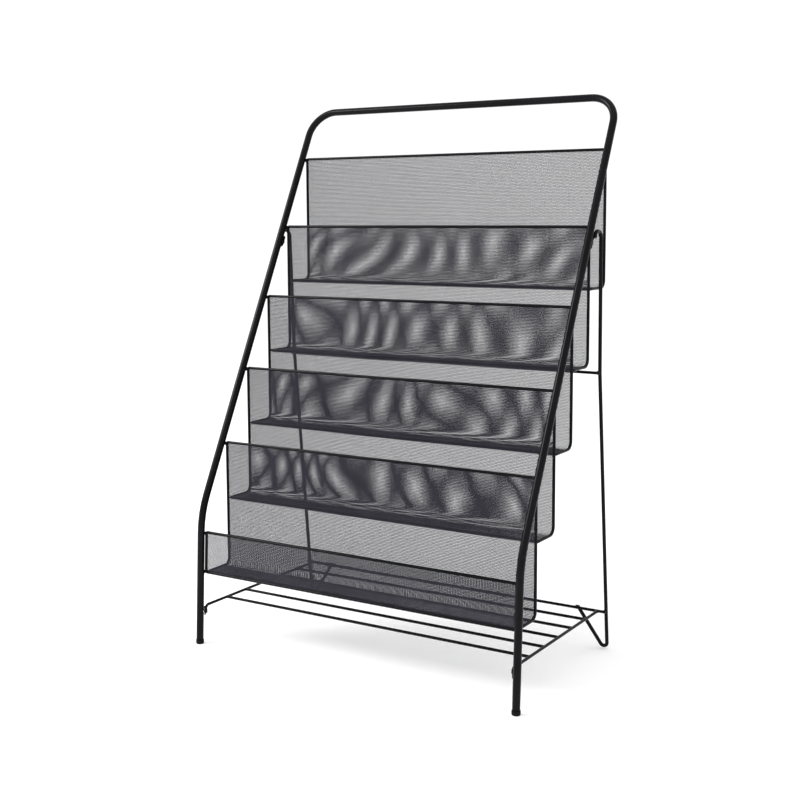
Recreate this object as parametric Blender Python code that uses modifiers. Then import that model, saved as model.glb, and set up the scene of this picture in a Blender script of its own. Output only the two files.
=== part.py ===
"""Floor-standing magazine rack: five stepped mesh trays in a bent tube frame.

The front of the rack faces -Y, its width runs along X and its feet stand on Z = 0. Every piece is
drawn with Y = 0 at the front feet, and hangs from one empty that centres the rack on its depth.
"""
import math

import bmesh
import bpy
from mathutils import Vector

# ------------------------------------------------------------------ driving dimensions, in metres
GAP = 0.0003                    # air between pieces that touch on the real rack

# Bent tube frame: two legs, a knee, a slope that leans back, and a top bar
TUBE_RADIUS = 0.005
TUBE_WALL = 0.001
FRAME_HALF_WIDTH = 0.245        # middle of the rack to the tube's axis
KNEE_Y = 0.009
KNEE_Z = 0.183
TOP_BAR_Z = 0.745
SET_BACK = 0.5                  # depth gained for each unit of height above the knee
KNEE_BEND = 0.130
CORNER_BEND = 0.038
FOOT_CAP_HEIGHT = 0.006
FOOT_CAP_RADIUS = 0.0056
CAP_STEM_RADIUS = 0.0032
CAP_STEM_HEIGHT = 0.0085
CAP_STEM_CHAMFER = 0.0006
CAP_TOP_CHAMFER = 0.0004
CAP_HEEL_ROUND = 0.0016         # rounding under the cap, at the floor
CAP_HEEL_STEP = 0.0005

# Mesh trays: each one is 100 mm lower and 50 mm further forward than the one above
TRAY_COUNT = 5
TRAY_RISE = 0.100
TRAY_STEP = 0.050
TOP_RIM_Z = 0.675               # top edge of the uppermost back panel
PANEL_HEIGHT = 0.180
LOWEST_FLOOR_Z = 0.100
FRONT_RIM_Z = 0.156
PANEL_HALF_WIDTH = 0.240        # middle of the rack to the axis of the side wires
PANEL_BEHIND_TUBE = 0.006       # rim wire's axis behind the tube's axis
FRONT_BEHIND_TUBE = 0.0055
EDGE_WIRE_RADIUS = 0.002
EDGE_CORNER_BEND = 0.0025
FLOOR_BEND = 0.010
SHEET_THICKNESS = 0.001

# Rear legs: one wire each, hooked over at the top and bent to a V at the floor
LEG_RADIUS = 0.0025
LEG_X = 0.248
LEG_TOP_X = 0.2495              # the legs stand a little wider at the top
LEG_TOP_Z = 0.5695
LEG_TOP_Y = 0.227
LEG_BEND_Y = 0.233
LEG_BEND_Z = 0.385
LEG_FOOT_Y = 0.272
HOOK_BEND_FRONT = 0.006
HOOK_BEND_REAR = 0.010
LEG_BEND = 0.060
FOOT_BEND = 0.005
RETURN_X = 0.206
RETURN_Y = 0.266
RETURN_Z = 0.0555
CROSS_BAR_OVERHANG = 0.0015

# Wire shelf close to the floor
SHELF_Z = 0.0545
SHELF_WIRE_RADIUS = 0.002
SHELF_BAR_COUNT = 5
SHELF_FIRST_BAR_Y = 0.051
SHELF_BAR_PITCH = 0.042
RAIL_BEND = 0.003

# Screwed joints: a flattened wire end, a pan-head screw and a threaded insert in the tube
TAB_THICKNESS = 0.002
TAB_WIDTH = 0.008
TAB_LENGTH = 0.016
TAB_EDGE_CHAMFER = 0.0004
WIRE_ON_TAB = 0.004             # the round wire ends this far from the tab's middle
SCREW_RADIUS = 0.002
SCREW_HOLE_RADIUS = 0.0023
SCREW_REACH = 0.0088            # shank length under the head
HEAD_RADIUS = 0.0038
HEAD_HEIGHT = 0.0024
HEAD_CROWN = [(0.45, 0.94), (0.80, 0.70), (1.0, 0.25)]  # shares of the head's radius and height
SCREW_TIP_CHAMFER = 0.0006
INSERT_RADIUS = 0.003
INSERT_DEPTH = 0.0063
LEG_SCREW_Z = 0.556
SHELF_SCREW_Z = 0.0455
SHELF_TAB_LENGTH = 0.012
RAIL_END_BEHIND_TUBE = 0.0035   # the side rail turns down this far behind the tube's axis

# Facets
WIRE_SIDES = 2                  # bevel resolution of a wire: eight sides
TUBE_SIDES = 4                  # bevel resolution of the tube: twelve sides
TURNED_STEPS = 20
BEND_STEP = math.radians(18)

# Colour, roughness and metallic value of each finish
FINISHES = {
    "powder_coat": ((0.012, 0.012, 0.014), 0.42, 0.0),
    "mesh_coat": ((0.014, 0.014, 0.016), 0.5, 0.0),
    "black_plastic": ((0.010, 0.010, 0.011), 0.6, 0.0),
    "black_screw": ((0.02, 0.02, 0.021), 0.35, 0.9),
    "zinc": ((0.55, 0.55, 0.53), 0.35, 1.0),
}

# ------------------------------------------------------------------ sizes that follow from these
TOP_BAR_Y = KNEE_Y + (TOP_BAR_Z - KNEE_Z) * SET_BACK
MIDDLE_DEPTH = (TOP_BAR_Y + TUBE_RADIUS - FOOT_CAP_RADIUS) / 2
SHEET_MARGIN = EDGE_WIRE_RADIUS + GAP
WIRE_PASS = 2 * EDGE_WIRE_RADIUS + GAP
REAR_RAIL_Y = SHELF_FIRST_BAR_Y + SHELF_BAR_COUNT * SHELF_BAR_PITCH
SIDE_RAIL_X = FRAME_HALF_WIDTH - TUBE_RADIUS - GAP - SHELF_WIRE_RADIUS
TAB_DRILL_DEPTH = 3 * TUBE_RADIUS
SLOPE_ANGLE = math.atan(SET_BACK)
UP_SLOPE = Vector((0, math.sin(SLOPE_ANGLE), math.cos(SLOPE_ANGLE)))
REARWARD = Vector((0, math.cos(SLOPE_ANGLE), -math.sin(SLOPE_ANGLE)))
SIDES = {"left": -1, "right": 1}


def tube_y(height):
    """Depth of the tube's axis at a height."""
    if height < KNEE_Z:
        return KNEE_Y * height / KNEE_Z
    return KNEE_Y + (height - KNEE_Z) * SET_BACK


# ------------------------------------------------------------------ shared modelling steps
def clear_scene():
    """Remove the objects that the scene starts with."""
    for item in list(bpy.data.objects):
        bpy.data.objects.remove(item, do_unlink=True)


def new_collection(name):
    """Make a collection in the scene."""
    group = bpy.data.collections.new(name)
    bpy.context.scene.collection.children.link(group)
    return group


def dress(item, finish):
    """Give an object its own Principled material."""
    colour, roughness, metallic = FINISHES[finish]
    material = bpy.data.materials.new(item.name + "_" + finish)
    material.use_nodes = True
    shader = material.node_tree.nodes["Principled BSDF"]
    shader.inputs["Base Color"].default_value = (*colour, 1.0)
    shader.inputs["Roughness"].default_value = roughness
    shader.inputs["Metallic"].default_value = metallic
    item.data.materials.clear()
    item.data.materials.append(material)


def bend_points(before, corner, after, radius):
    """Points of the circular bend that rounds a corner between two straight runs."""
    towards_before = (before - corner).normalized()
    towards_after = (after - corner).normalized()
    inside_angle = towards_before.angle(towards_after)
    sweep = math.pi - inside_angle
    tangent = radius / math.tan(inside_angle / 2)
    middle = (towards_before + towards_after).normalized()
    centre = corner + middle * radius / math.sin(inside_angle / 2)
    first = corner + towards_before * tangent - centre
    last = corner + towards_after * tangent - centre
    steps = max(2, math.ceil(sweep / BEND_STEP))
    points = []
    for step in range(steps + 1):
        turned = sweep * step / steps
        offset = first * math.sin(sweep - turned) + last * math.sin(turned)
        points.append(centre + offset / math.sin(sweep))
    return points


def open_path(corners, bends):
    """Points of an open wire: its corners, each inner one rounded by its bend radius."""
    points = [corners[0]]
    for index, radius in enumerate(bends, start=1):
        points += bend_points(corners[index - 1], corners[index], corners[index + 1], radius)
    points.append(corners[-1])
    return points


def closed_path(corners, bends):
    """Points of a closed wire with every corner rounded."""
    count = len(corners)
    points = []
    for index, radius in enumerate(bends):
        before = corners[index - 1]
        after = corners[(index + 1) % count]
        points += bend_points(before, corners[index], after, radius)
    return points


def wire(name, points, radius, finish, closed=False, sides=WIRE_SIDES):
    """A round wire or bar along points, as a curve with filled ends."""
    curve = bpy.data.curves.new(name, "CURVE")
    curve.dimensions = "3D"
    curve.bevel_depth = radius
    curve.bevel_resolution = sides
    curve.use_fill_caps = not closed
    spline = curve.splines.new("POLY")
    spline.points.add(len(points) - 1)
    for slot, point in zip(spline.points, points):
        slot.co = (*point, 1.0)
    spline.use_cyclic_u = closed
    spline.use_smooth = True
    item = bpy.data.objects.new(name, curve)
    rack.objects.link(item)
    item.parent = origin
    dress(item, finish)
    return item


def curve_to_mesh(item):
    """Replace a curve object by a closed mesh object of the same name and finish."""
    name = item.name
    depsgraph = bpy.context.evaluated_depsgraph_get()
    mesh = bpy.data.meshes.new_from_object(item.evaluated_get(depsgraph))
    material = item.data.materials[0]
    placed = item.matrix_world.copy()
    bpy.data.objects.remove(item)
    shape = bmesh.new()
    shape.from_mesh(mesh)
    bmesh.ops.remove_doubles(shape, verts=shape.verts, dist=0.00001)
    shape.to_mesh(mesh)
    shape.free()
    mesh.materials.clear()
    mesh.materials.append(material)
    solid = bpy.data.objects.new(name, mesh)
    rack.objects.link(solid)
    solid.parent = origin
    solid.matrix_world = placed
    return solid


def as_tool(item):
    """Keep an object only as a tool for Boolean modifiers."""
    for group in item.users_collection:
        group.objects.unlink(item)
    cutters.objects.link(item)
    item.parent = origin
    item.hide_render = True
    item.display_type = "WIRE"
    return item


def boolean(item, tool, operation):
    """Cut a tool from an object, or join the tool to it."""
    modifier = item.modifiers.new(operation.lower() + "_" + tool.name, "BOOLEAN")
    modifier.operation = operation
    modifier.solver = "EXACT"
    modifier.object = tool


def turned(name, profile, centre, axis, finish):
    """A turned piece: a profile of (radius, height) points spun about its own axis.

    The profile runs from the top of the piece, down its outer side, to the bottom.
    """
    shape = bmesh.new()
    verts = [shape.verts.new((radius, 0, height)) for radius, height in profile]
    for start, end in zip(verts, verts[1:]):
        shape.edges.new((start, end))
    if profile[0][0] > 0:
        shape.edges.new((verts[-1], verts[0]))
    mesh = bpy.data.meshes.new(name)
    shape.to_mesh(mesh)
    shape.free()
    item = bpy.data.objects.new(name, mesh)
    rack.objects.link(item)
    item.parent = origin
    item.location = centre
    item.rotation_mode = "QUATERNION"
    item.rotation_quaternion = Vector((0, 0, 1)).rotation_difference(Vector(axis))
    spin = item.modifiers.new("spin", "SCREW")
    spin.steps = TURNED_STEPS
    spin.render_steps = TURNED_STEPS
    spin.use_merge_vertices = True
    spin.merge_threshold = 0.00001
    spin.use_smooth_shade = True
    dress(item, finish)
    return item


def drill(name, radius, depth, centre, axis):
    """A round cutter from a point along an axis."""
    profile = [(0, depth), (radius, depth), (radius, 0), (0, 0)]
    return as_tool(turned(name, profile, centre, axis, "zinc"))


# ------------------------------------------------------------------ bent tube frame and its feet
def frame_corners():
    """Corners of the frame's centre line, from the left foot to the right foot."""
    foot_z = FOOT_CAP_HEIGHT + 2 * GAP
    half = [(tube_y(foot_z), foot_z), (KNEE_Y, KNEE_Z), (TOP_BAR_Y, TOP_BAR_Z)]
    left = [Vector((-FRAME_HALF_WIDTH, y, z)) for y, z in half]
    right = [Vector((FRAME_HALF_WIDTH, y, z)) for y, z in reversed(half)]
    return left + right


def make_frame_tube():
    """The hollow tube, open at its feet, with a hole for each threaded insert."""
    bends = [KNEE_BEND, CORNER_BEND, CORNER_BEND, KNEE_BEND]
    corners = frame_corners()
    tube = wire("front_frame_tube", open_path(corners, bends), TUBE_RADIUS, "powder_coat",
                sides=TUBE_SIDES)
    tube = curve_to_mesh(tube)
    bore_corners = list(corners)
    below_foot = Vector((0, 0, FOOT_CAP_HEIGHT))
    bore_corners[0] = corners[0] - below_foot
    bore_corners[-1] = corners[-1] - below_foot
    bore = wire("tube_bore", open_path(bore_corners, bends), TUBE_RADIUS - TUBE_WALL, "zinc",
                sides=TUBE_SIDES)
    boolean(tube, as_tool(curve_to_mesh(bore)), "DIFFERENCE")
    for side, sign in SIDES.items():
        for place, (centre, outward) in joint_axes(sign).items():
            hole = drill(place + "_insert_hole_" + side, INSERT_RADIUS + GAP, 2 * TUBE_RADIUS,
                         centre, outward)
            boolean(tube, hole, "DIFFERENCE")


def make_foot_caps():
    """A rounded plastic cap with a stem in each end of the tube."""
    stem_top = FOOT_CAP_HEIGHT + CAP_STEM_HEIGHT
    profile = [
        (0, stem_top),
        (CAP_STEM_RADIUS - CAP_STEM_CHAMFER, stem_top),
        (CAP_STEM_RADIUS, stem_top - CAP_STEM_CHAMFER),
        (CAP_STEM_RADIUS, FOOT_CAP_HEIGHT),
        (FOOT_CAP_RADIUS - CAP_TOP_CHAMFER, FOOT_CAP_HEIGHT),
        (FOOT_CAP_RADIUS, FOOT_CAP_HEIGHT - CAP_TOP_CHAMFER),
        (FOOT_CAP_RADIUS, CAP_HEEL_ROUND),
        (FOOT_CAP_RADIUS - CAP_HEEL_STEP, CAP_HEEL_STEP),
        (FOOT_CAP_RADIUS - CAP_HEEL_ROUND, 0),
        (0, 0),
    ]
    for side, sign in SIDES.items():
        centre = (sign * FRAME_HALF_WIDTH, tube_y(FOOT_CAP_HEIGHT), 0)
        turned("foot_cap_" + side, profile, centre, (0, 0, 1), "black_plastic")


# ------------------------------------------------------------------ mesh trays
def tray_sizes(tray):
    """Depth of a tray's back panel, its rim height, its floor height and its floor's front."""
    rim_z = TOP_RIM_Z - (tray - 1) * TRAY_RISE
    back_y = tube_y(rim_z) + PANEL_BEHIND_TUBE
    if tray < TRAY_COUNT:
        return back_y, rim_z, rim_z - PANEL_HEIGHT, back_y - TRAY_STEP + WIRE_PASS
    front_y = tube_y(LOWEST_FLOOR_Z) + FRONT_BEHIND_TUBE + WIRE_PASS
    return back_y, rim_z, LOWEST_FLOOR_Z, front_y


def sheet(name, profile):
    """A thin sheet as wide as the trays, from a line of (depth, height) points."""
    half_width = PANEL_HALF_WIDTH - SHEET_MARGIN
    shape = bmesh.new()
    verts = [shape.verts.new((-half_width, point.y, point.z)) for point in profile]
    for start, end in zip(verts, verts[1:]):
        shape.edges.new((start, end))
    swept = bmesh.ops.extrude_edge_only(shape, edges=shape.edges[:])
    moved = [part for part in swept["geom"] if isinstance(part, bmesh.types.BMVert)]
    bmesh.ops.translate(shape, verts=moved, vec=(2 * half_width, 0, 0))
    mesh = bpy.data.meshes.new(name)
    shape.to_mesh(mesh)
    shape.free()
    item = bpy.data.objects.new(name, mesh)
    rack.objects.link(item)
    item.parent = origin
    skin = item.modifiers.new("thickness", "SOLIDIFY")
    skin.thickness = SHEET_THICKNESS
    skin.offset = 0
    skin.use_even_offset = True
    dress(item, "mesh_coat")


def make_trays():
    """Five bent panels: a back and a floor in one sheet, with a wire round its edge."""
    for tray in range(1, TRAY_COUNT + 1):
        back_y, rim_z, floor_z, front_y = tray_sizes(tray)
        top = Vector((0, back_y, rim_z - SHEET_MARGIN))
        heel = Vector((0, back_y, floor_z))
        lip = Vector((0, front_y + SHEET_MARGIN, floor_z))
        sheet(f"tray_{tray}_mesh", open_path([top, heel, lip], [FLOOR_BEND]))
        outline = [(back_y, rim_z), (back_y, floor_z), (front_y, floor_z)]
        right = [Vector((PANEL_HALF_WIDTH, y, z)) for y, z in outline]
        left = [Vector((-PANEL_HALF_WIDTH, y, z)) for y, z in reversed(outline)]
        half_bends = [EDGE_CORNER_BEND, FLOOR_BEND, EDGE_CORNER_BEND]
        loop = closed_path(right + left, half_bends + half_bends)
        wire(f"tray_{tray}_edge_wire", loop, EDGE_WIRE_RADIUS, "powder_coat", closed=True)


def make_front_panel():
    """The low flat panel that closes the front of the lowest tray."""
    bottom = Vector((0, tube_y(LOWEST_FLOOR_Z) + FRONT_BEHIND_TUBE, LOWEST_FLOOR_Z))
    rim = Vector((0, tube_y(FRONT_RIM_Z) + FRONT_BEHIND_TUBE, FRONT_RIM_Z))
    inset = (rim - bottom).normalized() * SHEET_MARGIN
    sheet("front_panel_mesh", [rim - inset, bottom + inset])
    across = Vector((PANEL_HALF_WIDTH, 0, 0))
    corners = [rim + across, bottom + across, bottom - across, rim - across]
    loop = closed_path(corners, [EDGE_CORNER_BEND] * 4)
    wire("front_panel_edge_wire", loop, EDGE_WIRE_RADIUS, "powder_coat", closed=True)


# ------------------------------------------------------------------ rear legs
def leg_corners(sign):
    """Corners of one rear leg, from its tab on the tube to its return on the shelf."""
    stand_off = REARWARD * (TUBE_RADIUS + GAP + LEG_RADIUS)
    beside = Vector((sign * LEG_TOP_X, 0, 0))
    seat = Vector((0, tube_y(LEG_SCREW_Z), LEG_SCREW_Z)) + stand_off
    start = beside + seat + UP_SLOPE * WIRE_ON_TAB
    climb = (LEG_TOP_Z - seat.z) / UP_SLOPE.z
    hook_front = beside + seat + UP_SLOPE * climb
    spread = math.atan((LEG_X - RETURN_X) / RETURN_Z)
    meeting_z = LEG_RADIUS + FOOT_BEND - FOOT_BEND / math.tan(spread / 2)
    return [
        start,
        hook_front,
        Vector((sign * LEG_TOP_X, LEG_TOP_Y, LEG_TOP_Z)),
        Vector((sign * LEG_X, LEG_BEND_Y, LEG_BEND_Z)),
        Vector((sign * LEG_X, LEG_FOOT_Y, meeting_z)),
        Vector((sign * RETURN_X, RETURN_Y, RETURN_Z)),
    ]


def tab(name, centre, along, across, length):
    """A flattened wire end: a thin plate with chamfered edges."""
    bpy.ops.mesh.primitive_cube_add(size=1)
    plate = bpy.context.active_object
    plate.name = name
    normal = along.cross(across)
    for vert in plate.data.vertices:
        local = vert.co.copy()
        vert.co = along * local.x * length + across * local.y * TAB_WIDTH
        vert.co += normal * local.z * TAB_THICKNESS
    plate.location = centre
    chamfer = plate.modifiers.new("chamfer", "BEVEL")
    chamfer.width = TAB_EDGE_CHAMFER
    chamfer.segments = 1
    return as_tool(plate)


def make_rear_legs():
    """Two wire legs: a flattened end on the tube, a hook, a long leg and a V at the floor."""
    bends = [HOOK_BEND_FRONT, HOOK_BEND_REAR, LEG_BEND, FOOT_BEND]
    for side, sign in SIDES.items():
        name = "rear_leg_" + side
        leg = wire(name, open_path(leg_corners(sign), bends), LEG_RADIUS, "powder_coat")
        leg = curve_to_mesh(leg)
        on_axis, outward = joint_axes(sign)["leg"]
        seat = on_axis + outward * (TUBE_RADIUS + GAP + TAB_THICKNESS / 2)
        hole = drill(name + "_tab_hole", SCREW_HOLE_RADIUS, TAB_DRILL_DEPTH, on_axis, outward)
        plate = tab(name + "_tab", seat, UP_SLOPE, Vector((1, 0, 0)), TAB_LENGTH)
        boolean(leg, plate, "UNION")
        boolean(leg, hole, "DIFFERENCE")


def make_cross_bar():
    """A thin bar across the front of both rear legs, at their bend."""
    reach = LEG_X + CROSS_BAR_OVERHANG
    depth = LEG_BEND_Y - LEG_RADIUS - GAP - EDGE_WIRE_RADIUS
    ends = [Vector((sign * reach, depth, LEG_BEND_Z)) for sign in SIDES.values()]
    wire("rear_cross_bar", ends, EDGE_WIRE_RADIUS, "powder_coat")


# ------------------------------------------------------------------ wire shelf
def make_shelf():
    """Side rails, cross bars between them, and a rear rail that reaches both rear legs."""
    reach = LEG_X + CROSS_BAR_OVERHANG
    ends = [Vector((sign * reach, REAR_RAIL_Y, SHELF_Z)) for sign in SIDES.values()]
    wire("shelf_rear_rail", ends, SHELF_WIRE_RADIUS, "powder_coat")

    reach = SIDE_RAIL_X - SHELF_WIRE_RADIUS - GAP
    for bar in range(SHELF_BAR_COUNT):
        depth = SHELF_FIRST_BAR_Y + bar * SHELF_BAR_PITCH
        ends = [Vector((sign * reach, depth, SHELF_Z)) for sign in SIDES.values()]
        wire(f"shelf_bar_{bar + 1}", ends, SHELF_WIRE_RADIUS, "powder_coat")

    for side, sign in SIDES.items():
        name = "shelf_side_rail_" + side
        on_axis, outward = joint_axes(sign)["shelf"]
        turn_y = on_axis.y + RAIL_END_BEHIND_TUBE
        corners = [
            Vector((sign * SIDE_RAIL_X, REAR_RAIL_Y - 2 * SHELF_WIRE_RADIUS - GAP, SHELF_Z)),
            Vector((sign * SIDE_RAIL_X, turn_y, SHELF_Z)),
            Vector((sign * SIDE_RAIL_X, turn_y, SHELF_SCREW_Z + WIRE_ON_TAB)),
        ]
        rail = wire(name, open_path(corners, [RAIL_BEND]), SHELF_WIRE_RADIUS, "powder_coat")
        rail = curve_to_mesh(rail)
        seat = on_axis + outward * (TUBE_RADIUS + GAP + TAB_THICKNESS / 2)
        hole = drill(name + "_tab_hole", SCREW_HOLE_RADIUS, TAB_DRILL_DEPTH, on_axis, outward)
        upward = Vector((0, 0, 1))
        plate = tab(name + "_tab", seat, upward, upward.cross(outward), SHELF_TAB_LENGTH)
        boolean(rail, plate, "UNION")
        boolean(rail, hole, "DIFFERENCE")


# ------------------------------------------------------------------ screwed joints
def joint_axes(sign):
    """A point on the tube's axis and the outward direction of the screw, for both joints."""
    leg = Vector((sign * FRAME_HALF_WIDTH, tube_y(LEG_SCREW_Z), LEG_SCREW_Z))
    shelf = Vector((sign * FRAME_HALF_WIDTH, tube_y(SHELF_SCREW_Z), SHELF_SCREW_Z))
    return {"leg": (leg, REARWARD), "shelf": (shelf, Vector((-sign, 1, 0)).normalized())}


def make_fasteners():
    """A pan-head screw and a threaded insert for each of the four joints."""
    head_seat = TUBE_RADIUS + 2 * GAP + TAB_THICKNESS
    tip = head_seat - SCREW_REACH
    crown = [(HEAD_RADIUS * out, head_seat + HEAD_HEIGHT * up) for out, up in HEAD_CROWN]
    screw_profile = [(0, head_seat + HEAD_HEIGHT)] + crown + [
        (HEAD_RADIUS, head_seat),
        (SCREW_RADIUS, head_seat),
        (SCREW_RADIUS, tip + SCREW_TIP_CHAMFER),
        (SCREW_RADIUS - SCREW_TIP_CHAMFER, tip),
        (0, tip),
    ]
    insert_top = TUBE_RADIUS - GAP
    insert_profile = [
        (SCREW_HOLE_RADIUS, insert_top),
        (INSERT_RADIUS, insert_top),
        (INSERT_RADIUS, insert_top - INSERT_DEPTH),
        (SCREW_HOLE_RADIUS, insert_top - INSERT_DEPTH),
    ]
    for side, sign in SIDES.items():
        for place, (centre, outward) in joint_axes(sign).items():
            turned(f"{place}_screw_{side}", screw_profile, centre, outward, "black_screw")
            turned(f"{place}_insert_{side}", insert_profile, centre, outward, "zinc")


clear_scene()
rack = new_collection("magazine_rack")
cutters = new_collection("cutters")
origin = bpy.data.objects.new("rack_origin", None)
rack.objects.link(origin)
make_frame_tube()
make_foot_caps()
make_trays()
make_front_panel()
make_rear_legs()
make_cross_bar()
make_shelf()
make_fasteners()
origin.location = (0, -MIDDLE_DEPTH, 0)
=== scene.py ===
"""Looks of a floor-standing magazine rack: wire, tube, fine diamond mesh and screws.

The front of the rack faces -Y, its width runs along X and its feet stand on Z = 0.
"""

import logging
import math
from dataclasses import dataclass, field
from enum import Enum

import bmesh
import bpy
from mathutils import Matrix, Vector, noise


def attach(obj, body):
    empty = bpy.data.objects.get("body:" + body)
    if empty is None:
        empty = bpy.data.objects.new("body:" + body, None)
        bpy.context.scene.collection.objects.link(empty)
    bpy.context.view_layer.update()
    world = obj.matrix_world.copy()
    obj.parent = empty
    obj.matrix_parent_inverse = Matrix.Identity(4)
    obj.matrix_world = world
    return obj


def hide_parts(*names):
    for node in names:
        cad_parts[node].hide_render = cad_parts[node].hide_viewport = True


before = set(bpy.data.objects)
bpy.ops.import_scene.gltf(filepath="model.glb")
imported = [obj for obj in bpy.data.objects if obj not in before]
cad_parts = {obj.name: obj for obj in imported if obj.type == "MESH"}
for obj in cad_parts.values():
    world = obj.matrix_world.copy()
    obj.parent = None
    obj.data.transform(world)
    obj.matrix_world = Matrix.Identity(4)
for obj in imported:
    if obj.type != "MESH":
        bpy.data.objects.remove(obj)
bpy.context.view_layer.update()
LOG = logging.getLogger("magazine_rack")
BODY = "root"
UP = Vector((0.0, 0.0, 1.0))
ACROSS = Vector((1.0, 0.0, 0.0))
SMOOTH_BELOW = math.radians(38)


class Side(Enum):
    """The two sides of the rack, with the sign of their X."""

    LEFT = -1
    RIGHT = 1

    @property
    def word(self) -> str:
        """The side's name in lower case."""
        return self.name.lower()


class Slot(Enum):
    """Names of the record's material slots; the pieces here do not take their finish from them."""

    COAT = "black_powder_coat"
    MESH = "black_mesh"
    PLASTIC = "black_plastic"
    SCREW = "black_screw"
    ZINC = "zinc_insert"


# ------------------------------------------------------------------ finishes
@dataclass(frozen=True)
class Finish:
    """A surface finish: two tones that drift into each other, fine grain and worn specks.

    Attributes:
        title: name of the material.
        tone: main colour.
        second_tone: colour that the main one drifts to.
        drift_scale: how many drifts there are to a metre.
        roughness: lowest and highest roughness.
        metallic: metallic value of the whole surface.
        specular: specular level of the whole surface.
        grain_scale: how many grains there are to a metre.
        grain_height: height of the grain in metres.
        grain_strength: share of the grain's height that shows.
        wear_tone: colour of rubbed specks.
        wear_share: noise value above which the surface is rubbed.
    """

    title: str
    tone: tuple[float, float, float]
    second_tone: tuple[float, float, float]
    drift_scale: float
    roughness: tuple[float, float]
    metallic: float
    specular: float
    grain_scale: float
    grain_height: float
    grain_strength: float
    wear_tone: tuple[float, float, float]
    wear_share: float

    def material(self) -> bpy.types.Material:
        """Mix the finish as a node material.

        Returns:
            The material, made once and used again after that.
        """
        made = bpy.data.materials.get(self.title)
        if made is not None:
            return made
        made = bpy.data.materials.new(self.title)
        made.use_nodes = True
        tree = made.node_tree
        shader = tree.nodes["Principled BSDF"]
        shader.inputs["Metallic"].default_value = self.metallic
        shader.inputs["Specular IOR Level"].default_value = self.specular
        place = tree.nodes.new("ShaderNodeTexCoord").outputs["Object"]

        drift = self._noise(tree, place, self.drift_scale, 3.0)
        tones = tree.nodes.new("ShaderNodeMix")
        tones.data_type = "RGBA"
        tones.inputs["A"].default_value = (*self.tone, 1.0)
        tones.inputs["B"].default_value = (*self.second_tone, 1.0)
        tree.links.new(self._spread(tree, drift, 0.35, 0.65, 0.0, 1.0), tones.inputs["Factor"])

        rub = self._noise(tree, place, self.drift_scale * 9, 6.0)
        rubbed = self._spread(tree, rub, self.wear_share, self.wear_share + 0.05, 0.0, 1.0)
        worn = tree.nodes.new("ShaderNodeMix")
        worn.data_type = "RGBA"
        worn.inputs["B"].default_value = (*self.wear_tone, 1.0)
        tree.links.new(rubbed, worn.inputs["Factor"])
        tree.links.new(tones.outputs["Result"], worn.inputs["A"])
        tree.links.new(worn.outputs["Result"], shader.inputs["Base Color"])

        low, high = self.roughness
        sheen = self._noise(tree, place, self.drift_scale * 4, 4.0)
        tree.links.new(self._spread(tree, sheen, 0.3, 0.7, low, high), shader.inputs["Roughness"])

        grain = self._noise(tree, place, self.grain_scale, 2.0)
        bump = tree.nodes.new("ShaderNodeBump")
        bump.inputs["Strength"].default_value = self.grain_strength
        bump.inputs["Distance"].default_value = self.grain_height
        tree.links.new(grain, bump.inputs["Height"])
        tree.links.new(bump.outputs["Normal"], shader.inputs["Normal"])
        return made

    @staticmethod
    def _noise(tree: bpy.types.NodeTree, place: bpy.types.NodeSocket, scale: float,
               detail: float) -> bpy.types.NodeSocket:
        """Add a noise texture in object space.

        Args:
            tree: node tree of the material.
            place: coordinates that the noise reads.
            scale: how many waves there are to a metre.
            detail: octaves of finer noise.

        Returns:
            The noise value.
        """
        texture = tree.nodes.new("ShaderNodeTexNoise")
        texture.inputs["Scale"].default_value = scale
        texture.inputs["Detail"].default_value = detail
        tree.links.new(place, texture.inputs["Vector"])
        return texture.outputs["Fac"]

    @staticmethod
    def _spread(tree: bpy.types.NodeTree, value: bpy.types.NodeSocket, low: float, high: float,
                to_low: float, to_high: float) -> bpy.types.NodeSocket:
        """Map a value from one range to another.

        Args:
            tree: node tree of the material.
            value: the value to map.
            low: value that becomes to_low.
            high: value that becomes to_high.
            to_low: lowest result.
            to_high: highest result.

        Returns:
            The mapped value.
        """
        mapper = tree.nodes.new("ShaderNodeMapRange")
        mapper.inputs["From Min"].default_value = low
        mapper.inputs["From Max"].default_value = high
        mapper.inputs["To Min"].default_value = to_low
        mapper.inputs["To Max"].default_value = to_high
        tree.links.new(value, mapper.inputs["Value"])
        return mapper.outputs["Result"]


POWDER_COAT = Finish("satin_black_powder_coat", (0.0024, 0.0022, 0.0030), (0.0050, 0.0047, 0.0060),
                     14.0, (0.20, 0.28), 0.0, 0.09, 1300.0, 0.00012, 0.12, (0.02, 0.02, 0.021), 0.73)
MESH_COAT = Finish("black_coated_mesh", (0.019, 0.0172, 0.026), (0.027, 0.0252, 0.036),
                   22.0, (0.42, 0.58), 0.0, 0.16, 5200.0, 0.00003, 0.3, (0.04, 0.04, 0.048), 0.74)
WELD = Finish("coated_weld_bead", (0.0024, 0.0022, 0.0030), (0.006, 0.006, 0.007),
              60.0, (0.36, 0.55), 0.0, 0.07, 900.0, 0.00025, 0.6, (0.02, 0.019, 0.018), 0.75)
CAP_PLASTIC = Finish("grained_black_plastic", (0.0035, 0.0035, 0.004), (0.007, 0.007, 0.0075),
                     40.0, (0.55, 0.70), 0.0, 0.10, 3800.0, 0.00006, 0.6, (0.03, 0.03, 0.03), 0.70)
BLACK_OXIDE = Finish("black_oxide_steel", (0.012, 0.012, 0.014), (0.022, 0.021, 0.021),
                     70.0, (0.32, 0.46), 0.9, 0.5, 2600.0, 0.00003, 0.3, (0.09, 0.09, 0.09), 0.69)
ZINC = Finish("zinc_plated_steel", (0.52, 0.52, 0.50), (0.62, 0.61, 0.57),
              90.0, (0.28, 0.40), 1.0, 0.5, 2200.0, 0.00003, 0.3, (0.34, 0.33, 0.31), 0.70)
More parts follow.
